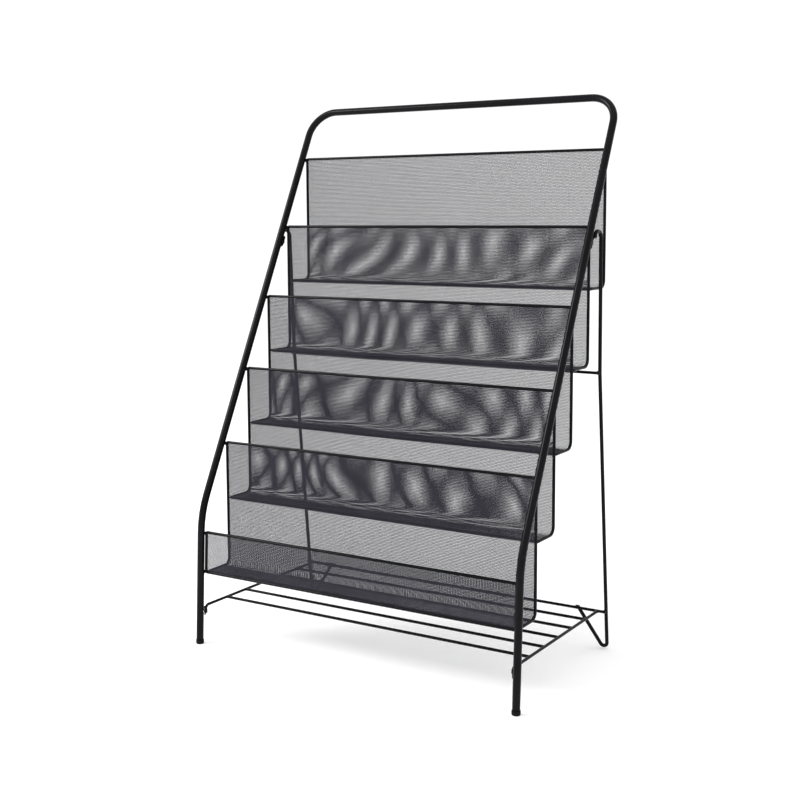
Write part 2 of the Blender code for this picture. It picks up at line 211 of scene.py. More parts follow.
FLOOR_PAINT = Finish("pale_floor", (0.90, 0.90, 0.90), (0.92, 0.92, 0.92),
                     0.6, (0.75, 0.85), 0.0, 0.10, 40.0, 0.0002, 0.1, (0.90, 0.90, 0.90), 0.95)


def hand_in(shape: bmesh.types.BMesh, name: str, finish: Finish,
            replaced: tuple[str, ...] = ()) -> bpy.types.Object:
    """Turn a finished shape into a piece of the rack.

    Args:
        shape: the shape, already in its place. It is freed.
        name: name of the piece.
        finish: finish of its whole surface.
        replaced: CAD nodes that the piece stands for.

    Returns:
        The piece's object.
    """
    mesh = bpy.data.meshes.new(name)
    shape.to_mesh(mesh)
    shape.free()
    mesh.shade_smooth()
    mesh.set_sharp_from_angle(angle=SMOOTH_BELOW)
    mesh.materials.append(finish.material())
    piece = bpy.data.objects.new(name, mesh)
    bpy.context.scene.collection.objects.link(piece)
    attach(piece, BODY)
    if replaced:
        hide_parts(*replaced)
    LOG.info("%s: %d faces", name, len(mesh.polygons))
    return piece


# ------------------------------------------------------------------ sizes shared by the pieces
@dataclass(frozen=True)
class Layout:
    """Centre lines of the rack, in metres, with Y = 0 at the front feet."""

    front_foot_y: float = -0.1447
    half_width: float = 0.245
    tube_radius: float = 0.005
    knee_y: float = 0.009
    knee_z: float = 0.183
    top_z: float = 0.745
    set_back: float = 0.5
    cap_height: float = 0.006
    seam: float = 0.0003

    def tube_y(self, height: float) -> float:
        """Depth of the tube's centre line at a height."""
        if height < self.knee_z:
            return self.knee_y * height / self.knee_z
        return self.knee_y + (height - self.knee_z) * self.set_back

    def point(self, x: float, y: float, z: float) -> Vector:
        """A point of the row frame from a depth counted from the front feet."""
        return Vector((x, y + self.front_foot_y, z))

    @property
    def up_slope(self) -> Vector:
        """Direction of the tube above the knee."""
        return Vector((0, self.set_back, 1)).normalized()

    @property
    def rearward(self) -> Vector:
        """Direction square to the slope, towards the back and down."""
        return Vector((0, 1, -self.set_back)).normalized()


LAYOUT = Layout()


# ------------------------------------------------------------------ wire and tube bending
class WireBender:
    """A ring of edges that is pushed along straight runs and spun round bends."""

    def __init__(self, start: Vector, heading: Vector, radius: float, sides: int) -> None:
        """Start a wire.

        Args:
            start: middle of the wire's first end.
            heading: direction of its first run.
            radius: radius of the wire.
            sides: number of facets round it.
        """
        self.shape = bmesh.new()
        self.radius = radius
        self.place = start.copy()
        self.heading = heading.normalized()
        ring = bmesh.ops.create_circle(self.shape, cap_ends=False, segments=sides, radius=radius)
        turn = UP.rotation_difference(self.heading).to_matrix()
        bmesh.ops.rotate(self.shape, verts=ring["verts"], cent=(0, 0, 0), matrix=turn)
        bmesh.ops.translate(self.shape, verts=ring["verts"], vec=self.place)
        self.first = list(self.shape.edges)
        self.front = list(self.shape.edges)

    def front_verts(self) -> list[bmesh.types.BMVert]:
        """Vertices of the ring that is being pushed."""
        return list({vert for edge in self.front for vert in edge.verts})

    def grow(self) -> list[bmesh.types.BMVert]:
        """Extrude the front ring in place.

        Returns:
            The vertices of the new ring.
        """
        grown = bmesh.ops.extrude_edge_only(self.shape, edges=self.front)["geom"]
        fresh = {part for part in grown if isinstance(part, bmesh.types.BMVert)}
        self.front = [part for part in grown if isinstance(part, bmesh.types.BMEdge)
                      and part.verts[0] in fresh and part.verts[1] in fresh]
        return list(fresh)

    def run(self, distance: float, lengths: int = 1) -> None:
        """Push the ring straight ahead.

        Args:
            distance: length of the run.
            lengths: number of equal stretches that it is made in.
        """
        for _ in range(lengths):
            step = self.heading * (distance / lengths)
            bmesh.ops.translate(self.shape, verts=self.grow(), vec=step)
            self.place += step

    def bend(self, ahead: Vector, radius: float, facet: float = math.radians(7.5)) -> None:
        """Spin the ring round a bend.

        Args:
            ahead: direction of the wire after the bend.
            radius: bend radius of its centre line.
            facet: angle of one step.
        """
        axis = self.heading.cross(ahead).normalized()
        sweep = self.heading.angle(ahead)
        centre = self.place + axis.cross(self.heading) * radius
        steps = max(3, math.ceil(sweep / facet))
        spun = bmesh.ops.spin(self.shape, geom=self.front_verts() + self.front, cent=centre,
                              axis=axis, dvec=(0, 0, 0), angle=sweep, steps=steps,
                              use_merge=False, use_normal_flip=False, use_duplicate=False)
        self.front = [part for part in spun["geom_last"] if isinstance(part, bmesh.types.BMEdge)]
        self.place = centre + Matrix.Rotation(sweep, 3, axis) @ (self.place - centre)
        self.heading = ahead.normalized()

    def follow(self, corners: list[Vector], bends: list[float]) -> None:
        """Push the ring along a line of corners.

        Args:
            corners: the start, each corner and the end.
            bends: bend radius at each corner between them.
        """
        for index, radius in enumerate(bends, start=1):
            ahead = (corners[index + 1] - corners[index]).normalized()
            setback = radius * math.tan(self.heading.angle(ahead) / 2)
            self.run((corners[index] - self.place).length - setback)
            self.bend(ahead, radius)
        self.run((corners[-1] - self.place).length)

    def squeeze(self, distance: float, middle: Vector, across: Vector, width: float,
                thickness: float) -> None:
        """Push the ring ahead and press it to a flat oval.

        Args:
            distance: length of the pressed stretch.
            middle: middle of the new ring.
            across: direction of its width.
            width: its width.
            thickness: its thickness.
        """
        fresh = self.grow()
        flat = self.heading.cross(across).normalized()
        old = self.place.copy()
        spread = max(abs((vert.co - old).dot(across)) for vert in fresh)
        depth = max(abs((vert.co - old).dot(flat)) for vert in fresh)
        for vert in fresh:
            sideways = (vert.co - old).dot(across) / spread
            upright = (vert.co - old).dot(flat) / depth
            upright = math.copysign(min(1.0, abs(upright) * 1.5), upright)
            vert.co = middle + across * sideways * width / 2 + flat * upright * thickness / 2
        self.place = middle.copy()

    def close_ring(self) -> None:
        """Join the front ring to the first one, where the wire has come back to its start."""
        bmesh.ops.remove_doubles(self.shape, verts=self.shape.verts, dist=0.00002)
        bmesh.ops.recalc_face_normals(self.shape, faces=self.shape.faces)

    def close_ends(self, chamfer: float = 0.0) -> None:
        """Fill both ends of the wire, with a rounded rim.

        Args:
            chamfer: width of the rounding, or 0 for a sharp rim.
        """
        rims = self.first + self.front
        bmesh.ops.edgeloop_fill(self.shape, edges=self.first)
        bmesh.ops.edgeloop_fill(self.shape, edges=self.front)
        if chamfer > 0:
            bmesh.ops.bevel(self.shape, geom=rims, offset=chamfer, offset_type="OFFSET",
                            segments=2, profile=0.5, affect="EDGES", material=-1)
        bmesh.ops.recalc_face_normals(self.shape, faces=self.shape.faces)


def spun_shape(profile: list[tuple[float, float]], steps: int) -> bmesh.types.BMesh:
    """Spin a line of (radius, height) points about Z.

    Args:
        profile: points from the axis at the top, down the outside, to the axis at the bottom.
        steps: number of facets round the piece.

    Returns:
        A closed shape.
    """
    shape = bmesh.new()
    verts = [shape.verts.new((radius, 0, height)) for radius, height in profile]
    for start, end in zip(verts, verts[1:]):
        shape.edges.new((start, end))
    bmesh.ops.spin(shape, geom=shape.verts[:] + shape.edges[:], cent=(0, 0, 0), axis=UP,
                   dvec=(0, 0, 0), angle=math.tau, steps=steps, use_merge=True,
                   use_normal_flip=False, use_duplicate=False)
    bmesh.ops.remove_doubles(shape, verts=shape.verts, dist=0.000005)
    bmesh.ops.recalc_face_normals(shape, faces=shape.faces)
    return shape


def stand_on(shape: bmesh.types.BMesh, centre: Vector, axis: Vector) -> None:
    """Turn a shape's Z to an axis and move its origin to a centre.

    Args:
        shape: the shape to place.
        centre: where its origin goes.
        axis: where its Z points.
    """
    turn = UP.rotation_difference(axis).to_matrix()
    bmesh.ops.rotate(shape, verts=shape.verts, cent=(0, 0, 0), matrix=turn)
    bmesh.ops.translate(shape, verts=shape.verts, vec=centre)


def weld_bead(shape: bmesh.types.BMesh, centre: Vector, size: Vector, seed: int) -> None:
    """Add a small uneven blob of weld metal.

    Args:
        shape: the shape that the bead is added to.
        centre: middle of the bead.
        size: half of its extent along X, Y and Z.
        seed: number that makes its unevenness its own.
    """
    ball = bmesh.ops.create_icosphere(shape, subdivisions=3, radius=1.0)["verts"]
    for vert in ball:
        lump = noise.noise(vert.co * 1.7 + Vector((seed * 3.1, seed * 1.3, 0)))
        vert.co *= 1 + 0.16 * lump
    bmesh.ops.scale(shape, verts=ball, vec=size)
    bmesh.ops.translate(shape, verts=ball, vec=centre)


# ------------------------------------------------------------------ bent tube frame and its feet
@dataclass
class TubeFrame:
    """The hollow tube bent to two legs, a knee on each side, two slopes and a top bar."""

    wall: float = 0.001
    knee_bend: float = 0.130
    corner_bend: float = 0.038
    open_depth: float = 0.012
    sides: int = 32
    layout: Layout = LAYOUT

    def build(self) -> None:
        """Bend the tube and bore both of its ends."""
        foot_z = self.layout.cap_height + 2 * self.layout.seam
        half = [(self.layout.tube_y(foot_z), foot_z), (self.layout.knee_y, self.layout.knee_z),
                (self.layout.tube_y(self.layout.top_z), self.layout.top_z)]
        side = self.layout.half_width
        corners = [self.layout.point(-side, y, z) for y, z in half]
        corners += [self.layout.point(side, y, z) for y, z in reversed(half)]
        radius = self.layout.tube_radius
        tube = WireBender(corners[0], corners[1] - corners[0], radius, self.sides)
        tube.follow(corners, [self.knee_bend, self.corner_bend, self.corner_bend, self.knee_bend])
        self._bore(tube, tube.front, tube.place, tube.heading)
        self._bore(tube, tube.first, corners[0], corners[0] - corners[1])
        bmesh.ops.recalc_face_normals(tube.shape, faces=tube.shape.faces)
        hand_in(tube.shape, "bent_frame_tube", POWDER_COAT, ("front_frame_tube",))

    def _bore(self, tube: WireBender, rim: list[bmesh.types.BMEdge], middle: Vector,
              outward: Vector) -> None:
        """Turn the rim inward and up into the tube.

        Args:
            tube: the tube being made.
            rim: edges of the end.
            middle: middle of the end.
            outward: direction out of the end.
        """
        tube.front = list(rim)
        inner = 1 - self.wall / self.layout.tube_radius
        centring = Matrix.Translation(-middle)
        bmesh.ops.scale(tube.shape, verts=tube.grow(), vec=(inner, inner, inner), space=centring)
        inside = outward.normalized() * -self.open_depth
        bmesh.ops.translate(tube.shape, verts=tube.grow(), vec=inside)
        bmesh.ops.edgeloop_fill(tube.shape, edges=tube.front)


@dataclass
class FootCap:
    """A moulded cap with a stem, a rounded heel and a thin parting ring."""

    radius: float = 0.0056
    stem_radius: float = 0.0032
    stem_height: float = 0.0085
    heel: float = 0.0016
    ring_height: float = 0.0040
    ring_depth: float = 0.00012
    steps: int = 40
    layout: Layout = LAYOUT

    def build(self, side: Side) -> None:
        """Turn one cap and set it in its leg.

        Args:
            side: the side that it stands on.
        """
        top = self.layout.cap_height
        stem_top = top + self.stem_height
        profile = [(0, stem_top), (self.stem_radius - 0.0006, stem_top),
                   (self.stem_radius, stem_top - 0.0006), (self.stem_radius, top),
                   (self.radius - 0.0005, top), (self.radius - 0.00015, top - 0.00015),
                   (self.radius, top - 0.0005), (self.radius, self.ring_height + 0.0002),
                   (self.radius - self.ring_depth, self.ring_height + 0.0001),
                   (self.radius - self.ring_depth, self.ring_height - 0.0001),
                   (self.radius, self.ring_height - 0.0002)]
        for step in range(5):
            angle = math.radians(22.5 * step)
            profile.append((self.radius - self.heel * (1 - math.cos(angle)),
                            self.heel * (1 - math.sin(angle))))
        profile += [(self.radius - 0.0024, 0), (self.radius - 0.0027, 0.0003), (0, 0.0003)]
        shape = spun_shape(profile, self.steps)
        side_x = side.value * self.layout.half_width
        stand_on(shape, self.layout.point(side_x, self.layout.tube_y(top), 0), UP)
        hand_in(shape, "moulded_foot_" + side.word, CAP_PLASTIC,
                ("foot_cap_" + side.word,))


# ------------------------------------------------------------------ mesh trays
@dataclass
class DiamondMesh:
    """Fine expanded mesh: two crossing families of thin strands in one bent sheet.

    Attributes:
        pitch: distance between strands of a family, across the sheet.
        lean: angle between a strand and the upright.
        strand_width: width of a strand.
        strand_depth: thickness of a strand.
        skew: how far the whole pattern is turned in its sheet.
        drift: how far the strands wander sideways.
        bulge: how far the sheet bulges out of its plane.
        drift_length: distance over which they do so.
        cut_length: distance between the places where a strand can bend.
    """

    pitch: float = 0.0017
    lean: float = math.radians(24)
    strand_width: float = 0.00045
    strand_depth: float = 0.00031
    skew: float = 0.0
    drift: float = 0.0018
    bulge: float = 0.0006
    drift_length: float = 0.12
    cut_length: float = 0.024

    def weave(self, half_width: float, profile: "SheetProfile", seed: int) -> bmesh.types.BMesh:
        """Lay the strands flat, trim them, and bend them to the sheet's profile.

        Args:
            half_width: half of the sheet's width.
            profile: the line that the sheet follows from its rim.
            seed: number that makes its waviness its own.

        Returns:
            The shape, in its place.
        """
        shape = bmesh.new()
        length = profile.length
        for sense in (-1, 1):
            self._family(shape, half_width, length, sense)
        for where, outward in ((half_width, ACROSS), (-half_width, -ACROSS)):
            self._trim(shape, outward * abs(where), outward)
        self._trim(shape, Vector((0, length, 0)), Vector((0, 1, 0)))
        self._trim(shape, Vector((0, 0, 0)), Vector((0, -1, 0)))
        for cut in profile.cuts(self.cut_length):
            bmesh.ops.bisect_plane(shape, geom=shape.verts[:] + shape.edges[:] + shape.faces[:],
                                   plane_co=(0, cut, 0), plane_no=(0, 1, 0), dist=0.000001)
        for vert in shape.verts:
            x, run, out = vert.co
            spot = Vector((x, run, seed * 7.3)) / self.drift_length
            fade = min(1.0, run / 0.02, (length - run) / 0.02)
            edge = min(1.0, (half_width - abs(x)) / 0.02)
            aside = self.drift * noise.noise(spot)
            along = self.drift * 0.6 * noise.noise(spot + Vector((31.7, 4.1, 9.9)))
            proud = self.bulge * noise.noise(spot + Vector((11.3, 52.9, 3.7)))
            vert.co = profile.place(x + aside * edge, run + along * fade,
                                    out + proud * fade * edge)
        return shape

    def _family(self, shape: bmesh.types.BMesh, half_width: float, length: float,
                sense: int) -> None:
        """Lay one family of parallel strands, doubling their number until they fill the sheet.

        Args:
            shape: the shape that they are added to.
            half_width: half of the sheet's width.
            length: length of the sheet.
            sense: which way the strands lean.
        """
        reach = length / math.cos(self.lean + abs(self.skew)) + 0.004
        strand = bmesh.ops.create_cube(shape, size=1.0)["verts"]
        bmesh.ops.scale(shape, verts=strand, vec=(self.strand_width, reach, self.strand_depth))
        angle = sense * self.lean + self.skew
        turn = Matrix.Rotation(angle, 3, "Z")
        bmesh.ops.rotate(shape, verts=strand, cent=(0, 0, 0), matrix=turn)
        spread = length * math.tan(abs(angle)) / 2
        first = -half_width - spread
        lift = sense * self.strand_depth * 0.3
        bmesh.ops.translate(shape, verts=strand, vec=(first, length / 2, lift))
        wanted = math.ceil(2 * (half_width + spread) / self.pitch)
        laid = list(strand)
        count = 1
        while count < wanted:
            take = min(count, wanted - count)
            batch = laid[:take * len(strand)]
            faces = {face for vert in batch for face in vert.link_faces}
            edges = {edge for vert in batch for edge in vert.link_edges}
            copied = bmesh.ops.duplicate(shape, geom=batch + list(edges) + list(faces))["geom"]
            fresh = [part for part in copied if isinstance(part, bmesh.types.BMVert)]
            bmesh.ops.translate(shape, verts=fresh, vec=(count * self.pitch, 0, 0))
            laid += fresh
            count += take

    @staticmethod
    def _trim(shape: bmesh.types.BMesh, place: Vector, outward: Vector) -> None:
        """Cut off what lies beyond a plane and fill the cut strands.

        Args:
            shape: the shape to trim.
            place: a point of the plane.
            outward: direction of the waste.
        """
        cut = bmesh.ops.bisect_plane(shape, geom=shape.verts[:] + shape.edges[:] + shape.faces[:],
                                     plane_co=place, plane_no=outward, dist=0.0000005,
                                     clear_outer=True)
        rims = [part for part in cut["geom_cut"] if isinstance(part, bmesh.types.BMEdge)]
        open_rims = [edge for edge in rims if edge.is_boundary]
        bmesh.ops.holes_fill(shape, edges=open_rims, sides=0)


@dataclass
class SheetProfile:
    """The line that a sheet follows: down its back, round its heel and along its floor.

    Attributes:
        rim: top of the back.
        down: direction of the back, downward.
        back: length of the back, as far as the heel.
        heel: bend radius at the heel, or 0 for a flat sheet.
        floor: length of the floor in front of the heel.
    """

    rim: Vector
    down: Vector
    back: float
    heel: float = 0.0
    floor: float = 0.0

    @property
    def length(self) -> float:
        """Length of the whole line."""
        return self.back + self.heel * math.pi / 2 + self.floor

    def cuts(self, longest: float) -> list[float]:
        """Distances from the rim at which the strands need a joint.

        Args:
            longest: longest stretch without a joint.

        Returns:
            The distances in order.
        """
        parts = math.ceil(self.back / longest)
        found = [self.back * step / parts for step in range(1, parts + (self.heel > 0))]
        if self.heel > 0:
            found += [self.back + self.heel * math.pi / 2 * step / 4 for step in range(1, 5)]
        return found

    def place(self, x: float, run: float, out: float) -> Vector:
        """Where a point of the flat sheet goes.

        Args:
            x: place across the sheet.
            run: distance from the rim along the line.
            out: distance out of the sheet, away from the papers.

        Returns:
            The point in the row frame.
        """
        outward = ACROSS.cross(-self.down)
        outward = outward if outward.y > 0 else -outward
        if run <= self.back or self.heel == 0:
            return self.rim + ACROSS * x + self.down * run + outward * out
        centre = self.rim + self.down * self.back - outward * self.heel
        angle = min((run - self.back) / self.heel, math.pi / 2)
        ray = outward * math.cos(angle) + self.down * math.sin(angle)
        ahead = self.down * math.cos(angle) - outward * math.sin(angle)
        beyond = run - self.back - angle * self.heel
        return centre + ACROSS * x + ray * (self.heel + out) + ahead * beyond


@dataclass
class Tray:
    """One tray: a mesh sheet bent to a back and a floor, with a wire round its edge.

    Attributes:
        number: 1 for the uppermost tray.
        skews: degrees by which each tray's mesh pattern is turned in its sheet.
        strand_widths: strand width of each tray's mesh.
    """

    number: int
    first_rim_z: float = 0.675
    rise: float = 0.100
    step: float = 0.050
    height: float = 0.180
    lowest_floor_z: float = 0.100
    half_width: float = 0.240
    behind_tube: float = 0.006
    front_behind_tube: float = 0.0055
    wire_radius: float = 0.002
    corner_bend: float = 0.0025
    heel: float = 0.010
    sides: int = 14
    last: int = 5
    skews: tuple[float, ...] = (0.0, -1.3, -1.9, -2.3, -2.3)
    strand_widths: tuple[float, ...] = (0.00048, 0.00050, 0.00054, 0.00058, 0.00061)
    layout: Layout = LAYOUT

    @property
    def rim_z(self) -> float:
        """Height of the tray's rim."""
        return self.first_rim_z - (self.number - 1) * self.rise

    @property
    def back_y(self) -> float:
        """Depth of the tray's back."""
        return self.layout.tube_y(self.rim_z) + self.behind_tube

    @property
    def floor_z(self) -> float:
        """Height of the tray's floor."""
        if self.number < self.last:
            return self.rim_z - self.height
        return self.lowest_floor_z

    @property
    def front_y(self) -> float:
        """Depth of the wire along the floor's front edge."""
        behind = 2 * self.wire_radius + self.layout.seam
        if self.number < self.last:
            return self.back_y - self.step + behind
        return self.layout.tube_y(self.lowest_floor_z) + self.front_behind_tube + behind

    def build(self) -> None:
        """Bend the wire, weave the sheet and hand both in."""
        self._edge_wire()
        self._sheet()

    def _edge_wire(self) -> None:
        """Bend the closed wire round the sheet, from the middle of its rim."""
        side = self.half_width
        line = [(self.back_y, self.rim_z), (self.back_y, self.floor_z), (self.front_y, self.floor_z)]
        corners = [self.layout.point(0, *line[0])]
        corners += [self.layout.point(side, y, z) for y, z in line]
        corners += [self.layout.point(-side, y, z) for y, z in reversed(line)]
        corners.append(corners[0])
        wire = WireBender(corners[0], ACROSS, self.wire_radius, self.sides)
        half = [self.corner_bend, self.heel, self.corner_bend]
        wire.follow(corners, half + half)
        wire.close_ring()
        hand_in(wire.shape, f"tray_{self.number}_wire_frame", POWDER_COAT,
                (f"tray_{self.number}_edge_wire",))

    def _sheet(self) -> None:
        """Weave the mesh sheet from the rim wire to the floor's front wire."""
        rim = self.layout.point(0, self.back_y, self.rim_z)
        profile = SheetProfile(rim, -UP, self.rim_z - self.floor_z - self.heel, self.heel,
                               self.back_y - self.heel - self.front_y)
        mesh = DiamondMesh(skew=math.radians(self.skews[self.number - 1]),
                           strand_width=self.strand_widths[self.number - 1])
        shape = mesh.weave(self.half_width - 0.0003, profile, self.number)
        hand_in(shape, f"tray_{self.number}_diamond_mesh", MESH_COAT,
                (f"tray_{self.number}_mesh",))


@dataclass
class FrontPanel:
    """The low flat panel across the front of the lowest tray."""

    bottom_z: float = 0.100
    rim_z: float = 0.156
    half_width: float = 0.240
    behind_tube: float = 0.0055
    wire_radius: float = 0.002
    corner_bend: float = 0.0025
    sides: int = 14
    mesh: DiamondMesh = field(
        default_factory=lambda: DiamondMesh(pitch=0.0038, lean=math.radians(66),
                                            strand_width=0.00062))
    layout: Layout = LAYOUT

    def _edge(self, x: float, height: float) -> Vector:
        """A point of the panel at a height."""
        return self.layout.point(x, self.layout.tube_y(height) + self.behind_tube, height)

    def build(self) -> None:
        """Bend the closed wire and weave the flat sheet."""
        side = self.half_width
        corners = [self._edge(0, self.rim_z), self._edge(side, self.rim_z),
                   self._edge(side, self.bottom_z), self._edge(-side, self.bottom_z),
                   self._edge(-side, self.rim_z), self._edge(0, self.rim_z)]
        wire = WireBender(corners[0], ACROSS, self.wire_radius, self.sides)
        wire.follow(corners, [self.corner_bend] * 4)
        wire.close_ring()
        hand_in(wire.shape, "front_panel_wire_frame", POWDER_COAT,
                ("front_panel_edge_wire",))
        drop = self._edge(0, self.bottom_z) - self._edge(0, self.rim_z)
        profile = SheetProfile(self._edge(0, self.rim_z), drop.normalized(), drop.length)
        shape = self.mesh.weave(side - 0.0003, profile, 9)
        hand_in(shape, "front_panel_diamond_mesh", MESH_COAT, ("front_panel_mesh",))


# ------------------------------------------------------------------ screwed tabs
@dataclass
class FlatTab:
    """The flattened end of a wire, drawn out to a rounded plate for a screw."""

    width: float = 0.008
    thickness: float = 0.002
    length: float = 0.016
    press: float = 0.004
    ease_steps: int = 4
    end_steps: int = 5
    end_sweep: float = math.radians(84)

    def press_end(self, wire: WireBender, middle: Vector, across: Vector) -> None:
        """Flatten the front end of a wire.

        Args:
            wire: the wire, whose front ring is where the round part stops.
            middle: middle of the plate.
            across: direction of the plate's width.
        """
        top = middle - wire.heading * (self.length / 2)
        round_end = wire.place.copy()
        for step in range(1, self.ease_steps + 1):
            share = step / self.ease_steps
            ease = share * share * (3 - 2 * share)
            width = 2 * wire.radius + (self.width - 2 * wire.radius) * ease
            thickness = 2 * wire.radius + (self.thickness - 2 * wire.radius) * ease
            spot = round_end.lerp(top, ease)
            spot += wire.heading * ((top - round_end).dot(wire.heading) * (share - ease))
            wire.squeeze(self.press, spot, across, width, thickness)
        straight = self.length - self.width / 2
        wire.squeeze(straight, top + wire.heading * straight, across, self.width, self.thickness)
        for step in range(1, self.end_steps + 1):
            angle = self.end_sweep * step / self.end_steps
            spot = top + wire.heading * (straight + math.sin(angle) * self.width / 2)
            wire.squeeze(self.press, spot, across, self.width * math.cos(angle), self.thickness)


@dataclass
class PanScrew:
    """A pan-head screw with a cross recess."""

    shank_radius: float = 0.002
    reach: float = 0.0088
    head_radius: float = 0.0038
    head_height: float = 0.0024
    recess_arm: float = 0.0021
    recess_width: float = 0.0009
    recess_depth: float = 0.0013
    seat: float = 0.0076
    steps: int = 36

    def build(self, name: str, centre: Vector, outward: Vector, replaced: str) -> None:
        """Turn the screw, sink its recess and set it in its joint.

        Args:
            name: name of the piece.
            centre: point of the tube's centre line that the screw points at.
            outward: direction from there to its head.
            replaced: CAD node that it stands for.
        """
        top = self.seat + self.head_height
        crown = [(self.head_radius * math.cos(math.radians(angle)),
                  top - self.head_height * 0.7 * (1 - math.sin(math.radians(angle))))
                 for angle in (52, 38, 26, 14, 4)]
        tip = self.seat - self.reach
        profile = crown + [
            (self.head_radius, top - self.head_height * 0.82),
            (self.head_radius - 0.0001, self.seat), (self.shank_radius, self.seat),
            (self.shank_radius, tip + 0.0006), (self.shank_radius - 0.0006, tip), (0, tip)]
        shape = spun_shape(profile, self.steps)
        rim = [edge for edge in shape.edges if edge.is_boundary]
        self._sink_recess(shape, rim, top)
        bmesh.ops.recalc_face_normals(shape, faces=shape.faces)
        stand_on(shape, centre, outward)
        hand_in(shape, name, BLACK_OXIDE, (replaced,))

    def _sink_recess(self, shape: bmesh.types.BMesh, rim: list[bmesh.types.BMEdge],
                     top: float) -> None:
        """Fill the open crown with a cross-shaped recess.

        Args:
            shape: the turned screw, open at its crown.
            rim: edges round the opening.
            top: height of the crown.
        """
        before = set(shape.verts)
        bmesh.ops.create_grid(shape, x_segments=3, y_segments=3, size=1.0)
        grid = [vert for vert in shape.verts if vert not in before]
        faces = {face for vert in grid for face in vert.link_faces}
        corner_faces = [face for face in faces if min(abs(face.calc_center_median().x),
                                                      abs(face.calc_center_median().y)) > 0.3]
        bmesh.ops.delete(shape, geom=corner_faces, context="FACES")
        grid = [vert for vert in shape.verts if vert not in before]
        for vert in grid:
            vert.co.x = math.copysign(self._arm(vert.co.x), vert.co.x)
            vert.co.y = math.copysign(self._arm(vert.co.y), vert.co.y)
            vert.co.z = top
        cross = [edge for vert in grid for edge in vert.link_edges if edge.is_boundary]
        cross = list(set(cross))
        floor = list({face for vert in grid for face in vert.link_faces})
        sunk = bmesh.ops.extrude_face_region(shape, geom=floor)["geom"]
        low = [part for part in sunk if isinstance(part, bmesh.types.BMVert)]
        bmesh.ops.delete(shape, geom=floor, context="FACES_KEEP_BOUNDARY")
        bmesh.ops.translate(shape, verts=low, vec=(0, 0, -self.recess_depth))
        bmesh.ops.scale(shape, verts=low, vec=(0.72, 0.72, 1.0))
        bmesh.ops.bridge_loops(shape, edges=[edge for edge in cross if edge.is_valid] + rim)

    def _arm(self, value: float) -> float:
        """Half of the arm's length or of its width, for an outer or inner grid line."""
        return self.recess_arm if abs(value) > 0.5 else self.recess_width / 2


# ------------------------------------------------------------------ rear legs
@dataclass
class RearLeg:
    """One wire leg: a V at the floor, a long leg, a hook and a flattened end on the tube."""

    radius: float = 0.0025
    x: float = 0.248
    top_x: float = 0.2495
    top_y: float = 0.227
    top_z: float = 0.5695
    bend_y: float = 0.233
    bend_z: float = 0.385
    foot_y: float = 0.272
    bends: tuple[float, ...] = (0.005, 0.060, 0.010, 0.006)
    return_x: float = 0.206
    return_y: float = 0.266
    return_z: float = 0.0555
    screw_z: float = 0.556
    round_end: float = 0.011
    sides: int = 18
    tab: FlatTab = field(default_factory=FlatTab)
    layout: Layout = LAYOUT

    def build(self, side: Side) -> None:
        """Bend one leg and press its end.

        Args:
            side: the side that it stands on.
        """
        sign = side.value
        rearward = self.layout.rearward
        slope = self.layout.up_slope
        on_axis = self.layout.point(sign * self.layout.half_width,
                                    self.layout.tube_y(self.screw_z), self.screw_z)
        stand_off = self.layout.tube_radius + self.layout.seam
        seat = on_axis + rearward * (stand_off + self.radius)
        seat.x = sign * self.top_x
        hook = seat + slope * ((self.top_z - seat.z) / slope.z)
        spread = math.atan((self.x - self.return_x) / self.return_z)
        fold = self.bends[0]
        meeting_z = self.radius + fold - fold / math.tan(spread / 2)
        corners = [self.layout.point(sign * self.return_x, self.return_y, self.return_z),
                   self.layout.point(sign * self.x, self.foot_y, meeting_z),
                   self.layout.point(sign * self.x, self.bend_y, self.bend_z),
                   self.layout.point(sign * self.top_x, self.top_y, self.top_z),
                   hook, seat + slope * self.round_end]
        leg = WireBender(corners[0], corners[1] - corners[0], self.radius, self.sides)
        leg.follow(corners, list(self.bends))
        plate = on_axis + rearward * (stand_off + self.tab.thickness / 2)
        self.tab.press_end(leg, plate, ACROSS)
        leg.close_ends()
        hand_in(leg.shape, "bent_rear_leg_" + side.word, POWDER_COAT,
                ("rear_leg_" + side.word,))
        PanScrew().build("leg_pan_screw_" + side.word, on_axis, rearward,
                         "leg_screw_" + side.word)


@dataclass
class StraightBar:
    """A straight round bar with softly sheared ends."""

    radius: float = 0.002
    shear: float = 0.0003
    sides: int = 14
    layout: Layout = LAYOUT

    def build(self, name: str, reach: float, y: float, z: float, replaced: str) -> None:
        """Make one bar across the rack.

        Args:
            name: name of the piece.
            reach: half of its length.
            y: its depth from the front feet.
            z: its height.
            replaced: CAD node that it stands for.
        """
        start = self.layout.point(-reach, y, z)
        bar = WireBender(start, ACROSS, self.radius, self.sides)
        bar.run(2 * reach, 8)
        bar.close_ends(self.shear)
        hand_in(bar.shape, name, POWDER_COAT, (replaced,))


